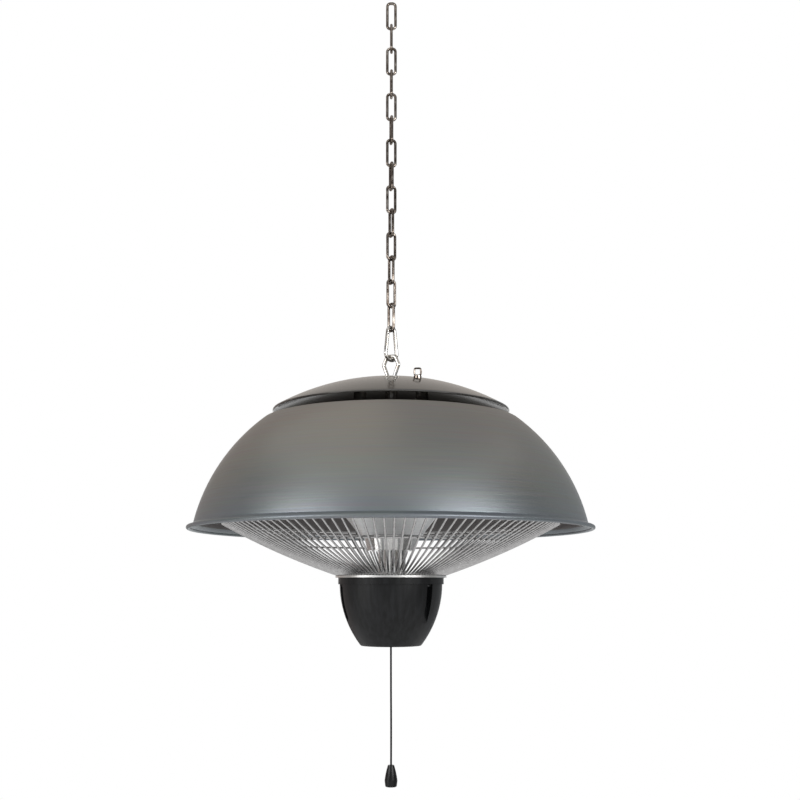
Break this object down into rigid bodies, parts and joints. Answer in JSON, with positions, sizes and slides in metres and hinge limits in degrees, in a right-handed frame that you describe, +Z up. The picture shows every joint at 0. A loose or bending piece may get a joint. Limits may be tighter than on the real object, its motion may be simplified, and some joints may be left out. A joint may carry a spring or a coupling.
{
  "type": "hanging patio heater",
  "caption": "Domed patio heater that hangs on a link chain: vented shade with a rain cap, ring lamps behind a wire guard, and a pull-cord switch below.",
  "frame": {"origin": "hang point: the inside of the top of the first chain link", "axes": "+Z up along the chain; -Y towards the viewer of the picture; +X to the viewer's right"},
  "size_m": [0.425, 0.4248, 0.8527],
  "materials": {
    "zinc_plated_steel": "bright zinc plating",
    "nickel_plated_steel": "tarnished nickel plating",
    "grey_paint": "satin grey powder coat",
    "stainless_steel": "polished",
    "bare_steel": "plain sheet",
    "spun_aluminium": "bright spun reflector sheet",
    "guard_steel": "drawn wire, bright",
    "black_plastic": "moulded, fine grain",
    "black_gloss_plastic": "moulded, smooth",
    "black_rubber": "moulded",
    "black_oxide_steel": "black oxide",
    "quartz_glass": "clear",
    "heating_coil": "drawn wire",
    "white_ceramic": "unglazed ceramic",
    "black_cord": "braided"
  },
  "bodies": {
    "chain_link_01": {"chain_link_01": "nickel_plated_steel"},
    "chain_link_02": {"chain_link_02": "nickel_plated_steel"},
    "chain_link_03": {"chain_link_03": "nickel_plated_steel"},
    "chain_link_04": {"chain_link_04": "nickel_plated_steel"},
    "chain_link_05": {"chain_link_05": "nickel_plated_steel"},
    "chain_link_06": {"chain_link_06": "nickel_plated_steel"},
    "chain_link_07": {"chain_link_07": "nickel_plated_steel"},
    "chain_link_08": {"chain_link_08": "nickel_plated_steel"},
    "chain_link_09": {"chain_link_09": "nickel_plated_steel"},
    "chain_link_10": {"chain_link_10": "nickel_plated_steel"},
    "chain_link_11": {"chain_link_11": "nickel_plated_steel"},
    "chain_link_12": {"chain_link_12": "nickel_plated_steel"},
    "chain_link_13": {"chain_link_13": "nickel_plated_steel"},
    "chain_link_14": {"chain_link_14": "nickel_plated_steel"},
    "snap_hook": {"snap_hook_body": "zinc_plated_steel", "snap_hook_pin": "zinc_plated_steel"},
    "snap_hook_gate": {"snap_hook_gate": "zinc_plated_steel", "snap_hook_spring": "zinc_plated_steel"},
    "heater": {"suspension_eye": "zinc_plated_steel", "eye_collars": "zinc_plated_steel", "eye_nuts": "zinc_plated_steel", "tether_eye": "zinc_plated_steel", "tether_nut": "zinc_plated_steel", "cap_studs": "zinc_plated_steel", "cap_spacers": "zinc_plated_steel", "cap_nuts": "zinc_plated_steel", "stay_nuts": "zinc_plated_steel", "tie_nuts": "zinc_plated_steel", "lever_pin": "zinc_plated_steel", "housing_screws": "black_oxide_steel", "rain_cap": "grey_paint", "shade": "grey_paint", "hub_cup": "stainless_steel", "pillars": "stainless_steel", "guard_collar": "stainless_steel", "base_plate": "stainless_steel", "hanger_plate": "bare_steel", "hub_stays": "bare_steel", "hub_plate": "bare_steel", "tie_rods": "bare_steel", "lamp_clips": "bare_steel", "switch_bracket": "bare_steel", "reflector": "spun_aluminium", "guard_wires": "guard_steel", "guard_rings": "guard_steel", "guard_hoop": "guard_steel", "switch_housing": "black_plastic", "cord_bush": "black_gloss_plastic", "switch_body": "black_gloss_plastic", "cable_grommet": "black_rubber", "shade_grommet": "black_rubber", "lamp_inner": "quartz_glass", "lamp_outer": "quartz_glass", "filaments": "heating_coil", "lamp_ceramics": "white_ceramic", "terminal_block": "white_ceramic"},
    "pull_cord": {"pull_cord": "black_cord", "cord_ferrule": "zinc_plated_steel", "cord_bell": "black_gloss_plastic"},
    "switch_lever": {"switch_lever": "bare_steel"}
  },
  "joints": [
    {"name": "chain_swing_02", "type": "hinge", "parent": "chain_link_01", "child": "chain_link_02", "pos_m": [0, 0, -0.028], "axis": [1, 0, 0], "range_deg": [-45, 45]},
    {"name": "chain_swing_03", "type": "hinge", "parent": "chain_link_02", "child": "chain_link_03", "pos_m": [0, 0, -0.05425], "axis": [0, 1, 0], "range_deg": [-45, 45]},
    {"name": "chain_swing_04", "type": "hinge", "parent": "chain_link_03", "child": "chain_link_04", "pos_m": [0, 0, -0.0805], "axis": [-1, 0, 0], "range_deg": [-45, 45]},
    {"name": "chain_swing_05", "type": "hinge", "parent": "chain_link_04", "child": "chain_link_05", "pos_m": [0, 0, -0.10675], "axis": [0.0576, -0.9983, 0], "range_deg": [-45, 45]},
    {"name": "chain_swing_06", "type": "hinge", "parent": "chain_link_05", "child": "chain_link_06", "pos_m": [0, 0, -0.133], "axis": [0.9934, 0.1149, 0], "range_deg": [-45, 45]},
    {"name": "chain_swing_07", "type": "hinge", "parent": "chain_link_06", "child": "chain_link_07", "pos_m": [0, 0, -0.15925], "axis": [-0.1719, 0.9851, 0], "range_deg": [-45, 45]},
    {"name": "chain_swing_08", "type": "hinge", "parent": "chain_link_07", "child": "chain_link_08", "pos_m": [0, 0, -0.1855], "axis": [-0.9736, -0.2284, 0], "range_deg": [-45, 45]},
    {"name": "chain_swing_09", "type": "hinge", "parent": "chain_link_08", "child": "chain_link_09", "pos_m": [0, 0, -0.21175], "axis": [0.284, -0.9588, 0], "range_deg": [-45, 45]},
    {"name": "chain_swing_10", "type": "hinge", "parent": "chain_link_09", "child": "chain_link_10", "pos_m": [0, 0, -0.238], "axis": [0.9409, 0.3387, 0], "range_deg": [-45, 45]},
    {"name": "chain_swing_11", "type": "hinge", "parent": "chain_link_10", "child": "chain_link_11", "pos_m": [0, 0, -0.26425], "axis": [-0.3923, 0.9198, 0], "range_deg": [-45, 45]},
    {"name": "chain_swing_12", "type": "hinge", "parent": "chain_link_11", "child": "chain_link_12", "pos_m": [0, 0, -0.2905], "axis": [-0.8957, -0.4446, 0], "range_deg": [-45, 45]},
    {"name": "chain_swing_13", "type": "hinge", "parent": "chain_link_12", "child": "chain_link_13", "pos_m": [0, 0, -0.31675], "axis": [0.4955, -0.8686, 0], "range_deg": [-45, 45]},
    {"name": "chain_swing_14", "type": "hinge", "parent": "chain_link_13", "child": "chain_link_14", "pos_m": [0, 0, -0.343], "axis": [0.8387, 0.5446, 0], "range_deg": [-45, 45]},
    {"name": "hook_swing", "type": "hinge", "parent": "chain_link_14", "child": "snap_hook", "pos_m": [0, 0, -0.36925], "axis": [-0.592, 0.8059, 0], "range_deg": [-45, 45]},
    {"name": "gate_open", "type": "hinge", "parent": "snap_hook", "child": "snap_hook_gate", "pos_m": [-0.00393, -0.0033, -0.37328], "axis": [0.6428, -0.766, 0], "range_deg": [0, 25], "stiffness_Nm_per_rad": 0.05, "springref_deg": -5.73},
    {"name": "heater_swing", "type": "hinge", "parent": "snap_hook", "child": "heater", "pos_m": [0, 0, -0.4015], "axis": [0.766, 0.6428, 0], "range_deg": [-45, 45]},
    {"name": "cord_pull", "type": "slide", "parent": "heater", "child": "pull_cord", "axis": [0, 0, -1], "range_m": [0, 0.008], "stiffness_N_per_m": 400},
    {"name": "lever_turn", "type": "hinge", "parent": "heater", "child": "switch_lever", "pos_m": [-0.015, 0, -0.66045], "axis": [0, 1, 0], "range_deg": [0, 30.1]}
  ],
  "couplings": [
    {"joint": "lever_turn", "follows": "cord_pull", "rad_per_m": 65.45}
  ]
}
